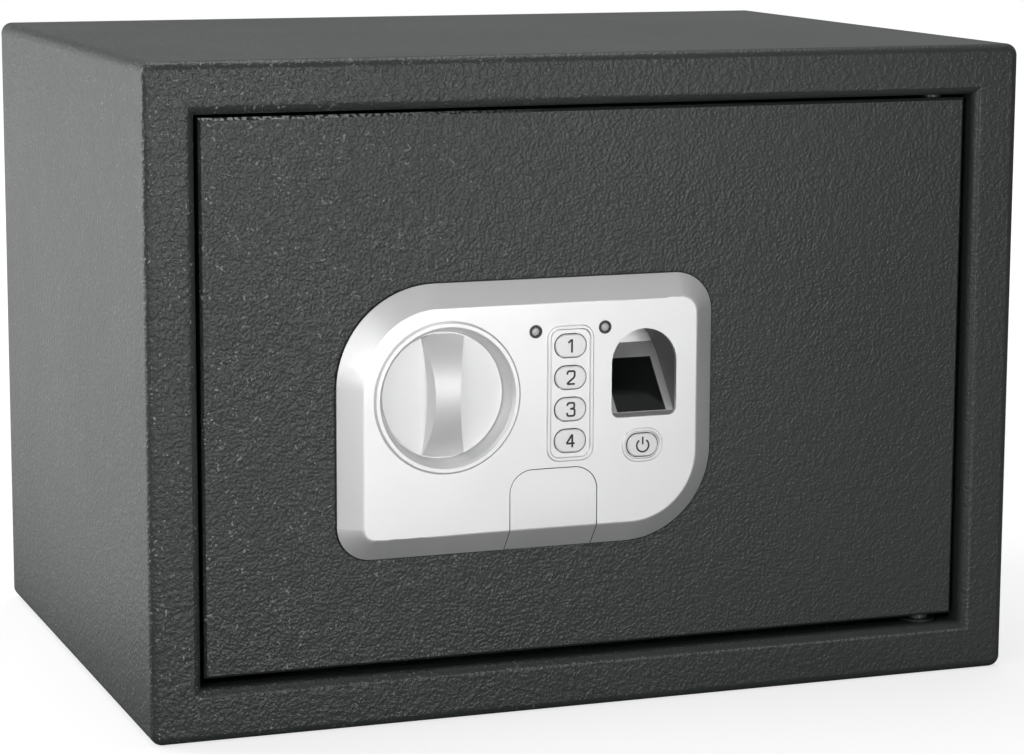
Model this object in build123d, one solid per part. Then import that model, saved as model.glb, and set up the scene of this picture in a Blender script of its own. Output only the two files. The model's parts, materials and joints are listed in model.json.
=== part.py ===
from build123d import *
import math
import os

# Electronic safe: a folded steel case, a plate door on a concealed hinge, and a moulded lock
# panel with a turning knob, a keypad, a fingerprint pocket and an emergency key lock.
# Millimetres. +X is to the right of someone facing the door, the front faces -Y, +Z is up,
# and the origin is the middle of the underside.

# Case
CASE_W = 350.0
CASE_D = 250.0
CASE_H = 250.0
SHEET = 2.0
CORNER_R = 4.5
FRONT_BEND_R = 3.5
FRONT_Y = -CASE_D / 2
BACK_Y = CASE_D / 2
MID_Z = CASE_H / 2
OPENING_W = 311.6
OPENING_H = 210.6
OPENING_Z = 125.4
OPENING_BEND_R = 4.0
RETURN_DEPTH = 10.0
LIP_THICK = 2.6
ANCHOR_R = 5.0
ANCHOR_SPACING = 220.0
BACK_ANCHOR_Z = 165.0
MAT_THICK = 2.5

# Door
DOOR_W = 307.4
DOOR_H = 206.3
DOOR_Z = 126.15
DOOR_EDGE = 1.0
DOOR_RECESS = 4.5
DOOR_THICK = 4.0
DOOR_Y = FRONT_Y + DOOR_RECESS
DOOR_REAR = DOOR_Y + DOOR_THICK

# Concealed hinge
PIVOT_X = 143.0
PIVOT_Y = -112.5
PIN_R = 4.0
PIN_FIT = 0.06
COLLAR_R = 7.0
STRAP_LENGTH = 30.0
STRAP_TOP = 226.0
STRAP_FOOT = 26.0

# Lock panel: outline on the door and outline of the flat face, with its four corner radii
PANEL_LEFT = -103.0
PANEL_RIGHT = 46.7
PANEL_LOW = 63.4
PANEL_HIGH = 166.0
PANEL_RADII = {"top_left": 38.0, "top_right": 15.0, "low_right": 35.0, "low_left": 13.0}
PANEL_BEVEL = 8.4
PANEL_FOOT = 1.0
PANEL_EDGE = 0.6
PANEL_WALL = 1.8
PANEL_Y = -128.0
PANEL_INNER_Y = PANEL_Y + PANEL_WALL

# Knob and its drive
KNOB_X = -62.0
KNOB_Z = 124.0
DISH_TOP_R = 26.0
DISH_FOOT_R = 23.9
DISH_HOLE_R = 14.0
DISH_FLOOR = 0.6
RIM_R = 28.8
RIM_HEIGHT = 0.9
KNOB_R = 23.5
KNOB_FACE_Y = DOOR_Y - 1.4
KNOB_REAR_Y = DOOR_Y - DISH_FLOOR - 0.1
GRIP_Y = -128.9
GRIP_END_HALF = 9.0
GRIP_WAIST_HALF = 6.1
GRIP_DRAFT = 9.0
SPINDLE_R = 5.0
SPINDLE_FIT = 0.06
THROW = 15.0
CRANK_R = THROW / math.sqrt(2)
CRANK_PIN_R = 3.0
CAM_R = 15.0
CAM_FRONT = -112.5
CAM_REAR = -109.5

# Bolts and their carriage
BOLT_R = 8.0
BOLT_FIT = 0.1
BOLT_Y = -105.7
BOLT_ZS = (89.0, 159.0)
BOLT_TIP_X = -152.5
BRACKET_X = -150.5
CARRIAGE_FRONT = -109.0
CARRIAGE_REAR = -107.0
CARRIAGE_FLANGE_X = -130.0
GUIDE_X = -105.0
GUIDE_ZS = (105.0, 143.0)
GUIDE_R = 3.0

# Solenoid, with its plunger drawn in
SOLENOID_X = -45.0
SOLENOID_Y = -108.0
SOLENOID_LOW = 42.0
SOLENOID_HIGH = 69.0
PLUNGER_R = 3.0
PLUNGER_TOP = 91.5
PLUNGER_COLLAR_LOW = 74.3
PLUNGER_COLLAR_TOP = 76.8
PLUNGER_COLLAR_R = 6.0
GATE_LOW = 92.0
GATE_HIGH = 97.0

# Emergency key lock and the cover over it
LOCK_X = -19.7
LOCK_Z = 80.0
LOCK_BODY_R = 8.0
PLUG_R = 5.0
PLUG_FIT = 0.06
ARM_LENGTH = 24.8
COVER_LEFT = -37.2
COVER_RIGHT = -2.4
COVER_TOP = 94.7
COVER_CORNER_R = 9.0
COVER_GAP = 0.25

# Keypad
KEY_X = -13.4
KEY_PITCH = 12.05
KEY_TOP_Z = 141.1
KEY_W = 12.4
KEY_H = 8.8
KEY_CORNER_R = 4.2
KEY_GAP = 0.3
KEY_PROUD = 0.7
POWER_X = 16.0
POWER_Z = 101.6
LED_PLACES = ((-27.3, 147.1), (0.5, 147.5))
BOARD_FRONT = -123.3
BOARD_THICK = 1.6
MAT_FRONT = -124.1

# Fingerprint pocket: an arch whose floor runs from the face at its foot to a back wall at its top
PRINT_X = 16.6
PRINT_W = 26.4
PRINT_LOW = 112.5
PRINT_HIGH = 146.2
PRINT_FOOT_DEPTH = 0.6
PRINT_SLOPE = 42.0
PRINT_DEPTH = 22.9
POCKET_WALL = 1.5
WINDOW_W = 19.8
WINDOW_LOW = 2.3
WINDOW_H = 24.3

# Cover on the back of the door
INNER_LEFT = -148.3
INNER_RIGHT = 125.0
INNER_LOW = 28.0
INNER_HIGH = 225.0
INNER_WALL = 1.5
INNER_Y = -88.0
INNER_R = 6.0
POST_PLACES = ((-134.0, 42.0), (-134.0, 211.0), (111.0, 42.0), (111.0, 211.0))

# Batteries
CELL_R = 7.1
CELL_LENGTH = 50.0
CELL_PITCH = 15.2
CELL_Y = -98.2
TRAY_X = 73.0
TRAY_Z = 88.0
TRAY_W = 64.0
TRAY_H = 60.0
TRAY_FRONT = -107.0

# Control board and reset button
CONTROL_X = 76.0
CONTROL_Z = 170.0
CONTROL_W = 72.0
CONTROL_H = 66.0
CONTROL_FRONT = -108.0
RESET_X = 58.0
RESET_Z = 186.0

PANEL_SCREWS = ((-90.0, 80.0), (-13.4, 153.0), (33.0, 106.0), (-62.0, 78.0))
CABLE_X = 37.5
CABLE_Z = 124.0


def facing(y):
    """A drawing plane seen from the front, at depth y: x to the right, z up."""
    return Plane(origin=(0, y, 0), x_dir=(1, 0, 0), z_dir=(0, -1, 0))


def slab(sketch, y_front, y_back):
    """A sketch drawn as seen from the front, solid between two depths."""
    return extrude(facing(y_back) * sketch, amount=y_back - y_front)


def rod_y(x, z, radius, y_front, y_back):
    return slab(Pos(x, z) * Circle(radius), y_front, y_back)


def rod_z(x, y, radius, z_low, z_high):
    base = (Align.CENTER, Align.CENTER, Align.MIN)
    return Pos(x, y, z_low) * Cylinder(radius, z_high - z_low, align=base)


def block(x0, x1, y0, y1, z0, z1):
    return Pos((x0 + x1) / 2, (y0 + y1) / 2, (z0 + z1) / 2) * Box(x1 - x0, y1 - y0, z1 - z0)


def edges_at_depth(shape, y):
    return shape.edges().filter_by(lambda edge: abs(edge.bounding_box().min.Y - y) < 0.01
                                   and abs(edge.bounding_box().max.Y - y) < 0.01)


def group(solids):
    return Compound(children=list(solids))


# Case

def case_wrapper():
    """Sheet walls, the front border and the lip folded in round the door opening."""
    outer = slab(Pos(0, MID_Z) * RectangleRounded(CASE_W, CASE_H, CORNER_R), FRONT_Y, BACK_Y)
    outer = fillet(edges_at_depth(outer, FRONT_Y), FRONT_BEND_R)
    inside = Pos(0, MID_Z) * RectangleRounded(CASE_W - 2 * SHEET, CASE_H - 2 * SHEET, CORNER_R - SHEET)
    room = slab(inside, FRONT_Y + SHEET, BACK_Y)
    room = fillet(edges_at_depth(room, FRONT_Y + SHEET), FRONT_BEND_R - SHEET)
    mouth = Pos(0, OPENING_Z) * Rectangle(OPENING_W, OPENING_H)
    lip_outline = RectangleRounded(OPENING_W + 2 * LIP_THICK, OPENING_H + 2 * LIP_THICK, LIP_THICK)
    lip = slab(Pos(0, OPENING_Z) * lip_outline, FRONT_Y + SHEET / 2, FRONT_Y + RETURN_DEPTH)
    shell = outer - room + lip - slab(mouth, FRONT_Y, FRONT_Y + RETURN_DEPTH)
    bends = edges_at_depth(shell, FRONT_Y).filter_by(
        lambda edge: abs(edge.center().X) < OPENING_W / 2 + 1 and abs(edge.center().Z - OPENING_Z) < OPENING_H / 2 + 1)
    shell = fillet(bends, OPENING_BEND_R)
    lip_high = OPENING_Z + OPENING_H / 2 + LIP_THICK
    lip_low = OPENING_Z - OPENING_H / 2 - LIP_THICK
    shell -= rod_z(PIVOT_X, PIVOT_Y, PIN_R + 0.8, OPENING_Z, lip_high + 1)
    shell -= rod_z(PIVOT_X, PIVOT_Y, COLLAR_R + 0.8, lip_low - 1, OPENING_Z)
    for side in (-1, 1):
        shell -= rod_z(side * ANCHOR_SPACING / 2, 0, ANCHOR_R, -1, SHEET + 1)
    return shell


def back_panel():
    """Welded back sheet, flush with the rear edges, with two wall anchor holes."""
    outline = RectangleRounded(CASE_W - 2 * SHEET, CASE_H - 2 * SHEET, CORNER_R - SHEET)
    sheet = slab(Pos(0, MID_Z) * outline, BACK_Y - SHEET, BACK_Y)
    for side in (-1, 1):
        sheet -= rod_y(side * ANCHOR_SPACING / 2, BACK_ANCHOR_Z, ANCHOR_R, 0, BACK_Y + 1)
    return sheet


def floor_mat():
    """Felt mat on the case floor, cut out over the two floor anchors."""
    depth_front = -96.0
    depth_back = BACK_Y - SHEET - 1
    middle = (depth_front + depth_back) / 2
    sheet = Pos(0, middle, SHEET) * extrude(RectangleRounded(340, depth_back - depth_front, 6), amount=MAT_THICK)
    for side in (-1, 1):
        sheet -= rod_z(side * ANCHOR_SPACING / 2, 0, 9, 0, 10)
    return sheet


def hinge_plates():
    """Two drilled plates welded behind the border, above and below the opening."""
    thick = 3.0
    reach = block(126, 160, FRONT_Y + SHEET, -98, 0, thick)
    reach = fillet(reach.edges().filter_by(Axis.Z).group_by(Axis.Y)[-1], 6)
    reach -= rod_z(PIVOT_X, PIVOT_Y, PIN_R + PIN_FIT, -1, thick + 1)
    high = OPENING_Z + OPENING_H / 2 + LIP_THICK
    low = OPENING_Z - OPENING_H / 2 - LIP_THICK - thick
    return group([Pos(0, 0, high) * reach, Pos(0, 0, low) * reach])


# Door and hinge

def door_plate():
    plate = slab(Pos(0, DOOR_Z) * Rectangle(DOOR_W, DOOR_H), DOOR_Y, DOOR_REAR)
    plate = chamfer(edges_at_depth(plate, DOOR_Y), DOOR_EDGE)
    plate -= rod_y(KNOB_X, KNOB_Z, SPINDLE_R + 3, DOOR_Y - 1, DOOR_REAR + 1)
    plate -= rod_y(LOCK_X, LOCK_Z, LOCK_BODY_R, DOOR_Y - 1, DOOR_REAR + 1)
    plate -= rod_y(CABLE_X, CABLE_Z, 3.5, DOOR_Y - 1, DOOR_REAR + 1)
    plate -= slab(offset(print_arch(), POCKET_WALL + 0.5), DOOR_Y - 1, DOOR_REAR + 1)
    for x, z in PANEL_SCREWS:
        plate -= rod_y(x, z, 1.8, DOOR_Y - 1, DOOR_REAR + 1)
    return plate


def hinge_straps():
    """Two straps folded over the pins and welded to the back of the door."""
    thick = 2.5
    stand = PIVOT_Y - DOOR_REAR
    wrap = Circle(PIN_R + thick) + Pos(0, -stand / 2) * Rectangle(2 * (PIN_R + thick), stand)
    feet = Pos(-3.5, thick / 2 - stand) * Rectangle(24, thick)
    bore = Circle(PIN_R) + Pos(0, -stand / 2) * Rectangle(2 * PIN_R, stand)
    below_door = Pos(0, -stand - 10) * Rectangle(60, 20)
    strap = extrude(Pos(PIVOT_X, PIVOT_Y) * (wrap + feet - bore - below_door), amount=STRAP_LENGTH)
    return group([Pos(0, 0, STRAP_FOOT) * strap, Pos(0, 0, STRAP_TOP - STRAP_LENGTH) * strap])


def hinge_pins():
    upper = rod_z(PIVOT_X, PIVOT_Y, PIN_R, STRAP_TOP - STRAP_LENGTH, 239)
    lower = rod_z(PIVOT_X, PIVOT_Y, PIN_R, 11, STRAP_FOOT + STRAP_LENGTH)
    return group([upper, lower])


def hinge_collar():
    """The washer on the lower pin that carries the door's weight."""
    low = OPENING_Z - OPENING_H / 2 - LIP_THICK + 0.1
    collar = rod_z(PIVOT_X, PIVOT_Y, COLLAR_R, low, low + 3)
    return collar - rod_z(PIVOT_X, PIVOT_Y, PIN_R, low - 1, low + 4)


# Lock panel

def panel_outline(inset):
    """The lock panel's outline, drawn in by the inset, with its radii drawn in too."""
    left = PANEL_LEFT + inset
    right = PANEL_RIGHT - inset
    low = PANEL_LOW + inset
    high = PANEL_HIGH - inset
    corners = ((left, low), (right, low), (right, high), (left, high))
    names = ("low_left", "low_right", "top_right", "top_left")
    radii = [PANEL_RADII[name] - inset for name in names]
    return make_face(FilletPolyline(*corners, radius=radii, close=True))


def panel_form(inset, y_face):
    """A bevelled slab on the panel's outline, up to a flat face at y_face."""
    foot_y = DOOR_Y - PANEL_FOOT
    foot = slab(panel_outline(inset), foot_y, DOOR_Y)
    bevel = loft([facing(foot_y) * panel_outline(inset), facing(y_face) * panel_outline(inset + PANEL_BEVEL)])
    return foot + bevel


def panel_shell():
    form = panel_form(0, PANEL_Y)
    form = chamfer(edges_at_depth(form, PANEL_Y), PANEL_EDGE)
    return form - panel_form(PANEL_WALL, PANEL_INNER_Y)


def revolved_about_knob(points):
    """A closed profile of radius and depth points, turned about the knob's axis."""
    profile = make_face(Polyline(*[(r, y) for r, y in points], close=True))
    return Pos(KNOB_X, 0, KNOB_Z) * revolve(profile, Axis.Y)


def knob_dish():
    """The knob's dish: a thin floor, a sloped wall and a low raised rim."""
    rim_y = PANEL_Y - RIM_HEIGHT
    floor_y = DOOR_Y - DISH_FLOOR
    return revolved_about_knob([
        (DISH_HOLE_R, DOOR_Y), (DISH_HOLE_R, floor_y), (DISH_FOOT_R, floor_y),
        (DISH_TOP_R - 0.4, PANEL_Y), (DISH_TOP_R + 0.6, rim_y), (RIM_R - 0.8, rim_y),
        (RIM_R, PANEL_Y), (RIM_R, DOOR_Y)])


def raised_line(sketch, width, height):
    """A raised line with sloped flanks round a sketch's outline, on the panel's face."""
    line = slab(sketch - offset(sketch, -width), PANEL_Y - height, PANEL_Y + 0.5)
    return chamfer(edges_at_depth(line, PANEL_Y - height), height * 0.6)


def key_outline(x, z, grow=0.0):
    return Pos(x, z) * RectangleRounded(KEY_W + 2 * grow, KEY_H + 2 * grow, KEY_CORNER_R + grow)


def key_heights():
    return [KEY_TOP_Z - step * KEY_PITCH for step in range(4)]


def key_strip():
    middle = (KEY_TOP_Z + key_heights()[-1]) / 2
    return Pos(KEY_X, middle) * RectangleRounded(18.8, 51.8, 5)


def print_arch():
    """The fingerprint pocket's mouth: an arch with a small radius at its lower corners."""
    radius = PRINT_W / 2
    spring_z = PRINT_HIGH - radius
    body = Pos(PRINT_X, (PRINT_LOW + spring_z) / 2) * Rectangle(PRINT_W, spring_z - PRINT_LOW)
    body = fillet(body.vertices().group_by(Axis.Y)[0], 3)
    return body + Pos(PRINT_X, spring_z) * Circle(radius)


def cover_outline(grow=0.0):
    """The key cover's arched outline, run out below the panel."""
    left = COVER_LEFT - grow
    right = COVER_RIGHT + grow
    top = COVER_TOP + grow
    low = PANEL_LOW - 5
    shape = Pos((left + right) / 2, (low + top) / 2) * Rectangle(right - left, top - low)
    return fillet(shape.vertices().group_by(Axis.Y)[-1], COVER_CORNER_R + grow)


def panel_housing():
    """Moulded shell with the knob's dish, key holes, raised lines, bosses and cover rails."""
    shell = panel_shell() - rod_y(KNOB_X, KNOB_Z, RIM_R - 1, PANEL_Y - 1, DOOR_Y)
    shell += knob_dish()
    shell += raised_line(key_strip(), 1.7, 0.7)
    shell += raised_line(key_outline(POWER_X, POWER_Z, 2.1), 1.4, 0.5)
    for z in key_heights():
        shell -= slab(key_outline(KEY_X, z, KEY_GAP), PANEL_Y - 2, PANEL_INNER_Y + 1)
    shell -= slab(key_outline(POWER_X, POWER_Z, KEY_GAP), PANEL_Y - 2, PANEL_INNER_Y + 1)
    for x, z in LED_PLACES:
        shell -= rod_y(x, z, 2.5, PANEL_Y - 1, PANEL_INNER_Y + 1)
    shell -= slab(print_arch(), PANEL_Y - 1, PANEL_INNER_Y + 1)
    shell -= slab(cover_outline(COVER_GAP), PANEL_Y - 1, DOOR_Y + 1)
    for x, z in PANEL_SCREWS:
        shell += slab(Pos(x, z) * RegularPolygon(3.2, 6), PANEL_INNER_Y - 0.5, DOOR_Y)
        shell -= slab(Pos(x, z) * RegularPolygon(1.4, 6), PANEL_INNER_Y + 0.6, DOOR_Y + 1)
    for edge, inward in ((COVER_LEFT, 1), (COVER_RIGHT, -1)):
        wall_x = edge - inward * COVER_GAP
        outside = sorted((edge - inward * 3, wall_x))
        shell += block(*outside, PANEL_INNER_Y - 0.1, PANEL_INNER_Y + 1.3, 76, 93 - COVER_CORNER_R)
        ledge = sorted((edge - inward * 3, edge + inward * 2.5))
        shell += block(*ledge, PANEL_INNER_Y + 0.1, PANEL_INNER_Y + 1.3, 76, 93 - COVER_CORNER_R)
    return shell


def key_cover():
    """The piece of the panel's shell that slides down off the key lock."""
    return panel_shell() & slab(cover_outline(), PANEL_Y - 1, DOOR_Y)


def key_cap(x, z):
    """A key with a crowned face and a flange that keeps it behind the panel."""
    face_y = PANEL_Y - KEY_PROUD
    cap = slab(key_outline(x, z), face_y, PANEL_INNER_Y + 0.5)
    cap = chamfer(edges_at_depth(cap, face_y), 0.4)
    flange = Pos(x, z) * Rectangle(KEY_W + 2, KEY_H + 2)
    return cap + slab(flange, PANEL_INNER_Y + 0.1, PANEL_INNER_Y + 0.9)


def keypad_mat():
    """Rubber mat under the keys."""
    strip = Pos(KEY_X, 123) * RectangleRounded(17, 50, 3)
    power = Pos(POWER_X, POWER_Z) * RectangleRounded(16, 12, 3)
    return slab(strip, MAT_FRONT, BOARD_FRONT) + slab(power, MAT_FRONT, BOARD_FRONT)


def keypad_board():
    """Circuit board behind the keys, cut round the fingerprint pocket, knob and lock."""
    outline = Pos(4.5, 125) * RectangleRounded(71, 56, 2)
    outline -= offset(print_arch(), POCKET_WALL + 0.5)
    outline -= cover_outline(2)
    for x, z in PANEL_SCREWS:
        outline -= Pos(x, z) * RegularPolygon(4, 6)
    return slab(outline, BOARD_FRONT, BOARD_FRONT + BOARD_THICK)


def led_lenses():
    return group([rod_y(x, z, 1.7, PANEL_Y - 0.3, BOARD_FRONT) for x, z in LED_PLACES])


def led_rings():
    rings = []
    for x, z in LED_PLACES:
        rings.append(rod_y(x, z, 2.5, PANEL_Y - 0.4, PANEL_INNER_Y) - rod_y(x, z, 1.7, PANEL_Y - 1, DOOR_Y))
    return group(rings)


# Fingerprint reader

def floor_plane(depth_behind=0.0):
    """The pocket's sloping floor, its z axis pointing out at the finger."""
    slope = math.radians(PRINT_SLOPE)
    foot_y = PANEL_Y + PRINT_FOOT_DEPTH
    normal = (0, -math.cos(slope), math.sin(slope))
    origin = (PRINT_X, foot_y - normal[1] * depth_behind, PRINT_LOW - normal[2] * depth_behind)
    return Plane(origin=origin, x_dir=(1, 0, 0), z_dir=normal)


def floor_slab(width, z_low, z_high, above, below):
    """A box on the sloping floor, from below it to above it."""
    middle = (z_low + z_high) / 2
    shape = Box(width, z_high - z_low, above + below)
    return floor_plane() * (Pos(0, middle, (above - below) / 2) * shape)


def print_pocket():
    """The pocket's wall, its sloping floor, open behind the window, and its back wall."""
    back_y = PANEL_Y + PRINT_DEPTH
    tube = slab(offset(print_arch(), POCKET_WALL), PANEL_INNER_Y, back_y + POCKET_WALL)
    tube &= floor_slab(80, -40, 80, 60, 2.2)
    tube -= slab(print_arch(), PANEL_Y - 5, back_y) & floor_slab(80, -40, 80, 60, 0)
    return tube - floor_slab(WINDOW_W, WINDOW_LOW, WINDOW_LOW + WINDOW_H, 5, 5)


def print_window():
    return floor_slab(WINDOW_W, WINDOW_LOW, WINDOW_LOW + WINDOW_H, -0.3, 2.2)


def print_module():
    """The reader's block behind the window, on its small board."""
    body = floor_slab(WINDOW_W + 3, WINDOW_LOW + 5, WINDOW_LOW + WINDOW_H - 1, -2.2, 6.5)
    board = floor_slab(WINDOW_W + 5, WINDOW_LOW + 6, WINDOW_LOW + WINDOW_H + 2, -6.5, 7.9)
    return body + board


# Knob, spindle and cam

def knob():
    """A disc with an arched grip across it, waisted in the middle."""
    disc = rod_y(KNOB_X, KNOB_Z, KNOB_R, KNOB_FACE_Y, KNOB_REAR_Y)
    reach = KNOB_R + 1
    left = ThreePointArc((-GRIP_END_HALF, -reach), (-GRIP_WAIST_HALF, 0), (-GRIP_END_HALF, reach))
    right = ThreePointArc((GRIP_END_HALF, reach), (GRIP_WAIST_HALF, 0), (GRIP_END_HALF, -reach))
    top = Line((-GRIP_END_HALF, reach), (GRIP_END_HALF, reach))
    foot = Line((GRIP_END_HALF, -reach), (-GRIP_END_HALF, -reach))
    waisted = Pos(KNOB_X, KNOB_Z) * make_face([left, top, right, foot])
    height = KNOB_REAR_Y - GRIP_Y + 1
    bar = extrude(facing(KNOB_REAR_Y) * waisted, amount=height, taper=GRIP_DRAFT)
    end_z = KNOB_R - 0.4
    arch = ThreePointArc((KNOB_FACE_Y, KNOB_Z - end_z), (GRIP_Y, KNOB_Z), (KNOB_FACE_Y, KNOB_Z + end_z))
    chord = Polyline((KNOB_FACE_Y, KNOB_Z + end_z), (KNOB_REAR_Y, KNOB_Z + end_z),
                     (KNOB_REAR_Y, KNOB_Z - end_z), (KNOB_FACE_Y, KNOB_Z - end_z))
    side_view = Plane.YZ * make_face([arch, chord])
    arched = Pos(KNOB_X - 15, 0, 0) * extrude(side_view, amount=30)
    round_plan = rod_y(KNOB_X, KNOB_Z, KNOB_R, GRIP_Y - 1, KNOB_REAR_Y)
    return disc + (bar & arched & round_plan)


def knob_spindle():
    """Steel spindle from the knob through the door to the cam, with a retaining collar."""
    shaft = rod_y(KNOB_X, KNOB_Z, SPINDLE_R, KNOB_REAR_Y, CAM_FRONT)
    collar = slab(Pos(KNOB_X, KNOB_Z) * RegularPolygon(SPINDLE_R + 3, 6), DOOR_REAR + 1.3, DOOR_REAR + 2.6)
    square = slab(Pos(KNOB_X, KNOB_Z) * Rectangle(6, 6), CAM_FRONT, CAM_REAR)
    return shaft + collar + square


def knob_bush():
    """Flanged bush in the door for the spindle."""
    barrel = rod_y(KNOB_X, KNOB_Z, SPINDLE_R + 3, DOOR_Y, DOOR_REAR)
    flange = rod_y(KNOB_X, KNOB_Z, SPINDLE_R + 5.5, DOOR_REAR, DOOR_REAR + 1.2)
    return barrel + flange - rod_y(KNOB_X, KNOB_Z, SPINDLE_R + SPINDLE_FIT, DOOR_Y - 1, DOOR_REAR + 2)


def drive_cam():
    """Disc on the spindle whose crank pin carries the bolts across."""
    web = rod_y(KNOB_X, KNOB_Z, CAM_R, CAM_FRONT, CAM_REAR)
    web -= slab(Pos(KNOB_X, KNOB_Z) * Rectangle(6, 6), CAM_FRONT - 1, CAM_REAR + 1)
    pin_x = KNOB_X + CRANK_R * math.cos(math.pi / 4)
    pin_z = KNOB_Z + CRANK_R * math.sin(math.pi / 4)
    return web + rod_y(pin_x, pin_z, CRANK_PIN_R, CAM_REAR, CARRIAGE_REAR + 1.5)


# Bolts

def bolt_bracket():
    """Folded plate on the back of the door that the bolts run through."""
    z_low = 70.0
    z_high = 178.0
    wall = block(BRACKET_X, BRACKET_X + SHEET, DOOR_REAR, -92, z_low, z_high)
    wall = fillet(wall.edges().filter_by(Axis.X).group_by(Axis.Y)[-1], 8)
    foot = block(BRACKET_X, -133, DOOR_REAR, DOOR_REAR + SHEET, z_low, z_high)
    bracket = wall + foot
    for z in BOLT_ZS:
        hole = Rot(0, 90, 0) * Cylinder(BOLT_R + BOLT_FIT, 30)
        bracket -= Pos(BRACKET_X, BOLT_Y, z) * hole
    return bracket


def carriage_outline():
    """The carriage seen from the front: bolt end, body, and the gate lug at its lower right."""
    left = CARRIAGE_FLANGE_X
    lug_left = SOLENOID_X + PLUNGER_R + 0.6
    lug_right = lug_left + 7.8
    points = ((left, GATE_HIGH), (lug_left, GATE_HIGH), (lug_left, GATE_LOW), (lug_right, GATE_LOW),
              (lug_right, GATE_HIGH + 12), (KNOB_X + 17, KNOB_Z - 6), (KNOB_X + 17, KNOB_Z + 22),
              (left, 152))
    return make_face(Polyline(*points, close=True))


def bolt_carriage():
    """Folded plate that joins the bolts, slotted for the crank pin and the guide studs."""
    plate = slab(carriage_outline(), CARRIAGE_FRONT, CARRIAGE_REAR)
    flange = block(CARRIAGE_FLANGE_X, CARRIAGE_FLANGE_X + SHEET, CARRIAGE_FRONT, -97.5,
                   BOLT_ZS[0] - 7, BOLT_ZS[1] + 7)
    plate += flange
    pin_x = KNOB_X + THROW / 2
    slot_foot = KNOB_Z + THROW / 2 - CRANK_PIN_R - 0.6
    slot_top = KNOB_Z + CRANK_R + CRANK_PIN_R + 0.6
    slot = RectangleRounded(2 * CRANK_PIN_R + 0.9, slot_top - slot_foot, 2.5)
    plate -= slab(Pos(pin_x, (slot_foot + slot_top) / 2) * slot, CARRIAGE_FRONT - 1, CARRIAGE_REAR + 1)
    for z in GUIDE_ZS:
        run = SlotOverall(THROW + 2 * GUIDE_R + 1.2, 2 * GUIDE_R + 0.2)
        plate -= slab(Pos(GUIDE_X + THROW / 2, z) * run, CARRIAGE_FRONT - 1, CARRIAGE_REAR + 1)
    for z in BOLT_ZS:
        plate -= Pos(CARRIAGE_FLANGE_X, BOLT_Y, z) * (Rot(0, 90, 0) * Cylinder(3, 10))
    return plate


def carriage_guides():
    """Shouldered studs on the door that the carriage slides on."""
    studs = []
    for z in GUIDE_ZS:
        shoulder = slab(Pos(GUIDE_X, z) * RegularPolygon(5.5, 6), DOOR_REAR, CARRIAGE_FRONT - 0.1)
        stem = rod_y(GUIDE_X, z, GUIDE_R, CARRIAGE_FRONT - 0.1, CARRIAGE_REAR + 0.1)
        head = slab(Pos(GUIDE_X, z) * RegularPolygon(5.8, 6), CARRIAGE_REAR + 0.1, CARRIAGE_REAR + 1.6)
        studs.append(shoulder + stem + head)
    return group(studs)


def locking_bolts():
    """Two round bolts, rounded at the tip and turned down where the carriage holds them."""
    bolts = []
    length = CARRIAGE_FLANGE_X - BOLT_TIP_X
    for z in BOLT_ZS:
        body = Rot(0, 90, 0) * Cylinder(BOLT_R, length)
        body = chamfer(body.edges().group_by(Axis.X)[0], 1.6)
        bolts.append(Pos((CARRIAGE_FLANGE_X + BOLT_TIP_X) / 2, BOLT_Y, z) * body)
    return group(bolts)


def bolt_screws():
    """The screws that hold the bolts to the carriage."""
    screws = []
    for z in BOLT_ZS:
        stem = Rot(0, 90, 0) * Cylinder(3, SHEET)
        head = Pos(SHEET / 2 + 2, 0, 0) * (Rot(0, 90, 0) * extrude(RegularPolygon(5.5, 6), amount=2, both=True))
        screws.append(Pos(CARRIAGE_FLANGE_X + SHEET / 2, BOLT_Y, z) * (stem + head))
    return group(screws)


# Solenoid

def solenoid_frame():
    """Folded steel yoke round the coil, welded to the door."""
    half_w = 9.0
    y_rear = SOLENOID_Y + 8.5
    yoke = block(SOLENOID_X - half_w, SOLENOID_X + half_w, DOOR_REAR, y_rear, SOLENOID_LOW, SOLENOID_HIGH)
    yoke -= block(SOLENOID_X - half_w - 1, SOLENOID_X + half_w + 1, DOOR_REAR + SHEET, y_rear + 1,
                  SOLENOID_LOW + SHEET, SOLENOID_HIGH - SHEET)
    return yoke - rod_z(SOLENOID_X, SOLENOID_Y, PLUNGER_R + 0.1, SOLENOID_HIGH - 5, SOLENOID_HIGH + 1)


def solenoid_coil():
    """Bobbin with its winding between two cheeks."""
    low = SOLENOID_LOW + SHEET
    high = SOLENOID_HIGH - SHEET
    coil = rod_z(SOLENOID_X, SOLENOID_Y, 5.8, low, high)
    for foot in (low, high - 1.2):
        coil += Pos(SOLENOID_X, SOLENOID_Y, foot + 0.6) * Box(12, 12, 1.2)
    return coil - rod_z(SOLENOID_X, SOLENOID_Y, PLUNGER_R + 0.1, low + 3, high + 1)


def plunger():
    """The pin that stands in front of the carriage's lug until the lock lets go."""
    pin = rod_z(SOLENOID_X, SOLENOID_Y, PLUNGER_R, SOLENOID_LOW + 6, PLUNGER_TOP)
    return pin + rod_z(SOLENOID_X, SOLENOID_Y, PLUNGER_COLLAR_R, PLUNGER_COLLAR_LOW, PLUNGER_COLLAR_TOP)


def plunger_spring():
    """The spring that pushes the plunger up."""
    wire_r = 0.35
    coil_r = 4.2
    low = SOLENOID_HIGH + wire_r
    high = PLUNGER_COLLAR_LOW - wire_r
    turns = 3
    path = Helix(pitch=(high - low) / turns, height=high - low, radius=coil_r)
    start = Plane(origin=path @ 0, z_dir=path % 0)
    return Pos(SOLENOID_X, SOLENOID_Y, low) * sweep(start * RegularPolygon(wire_r, 4), path=path, is_frenet=True)


# Emergency key lock

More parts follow.
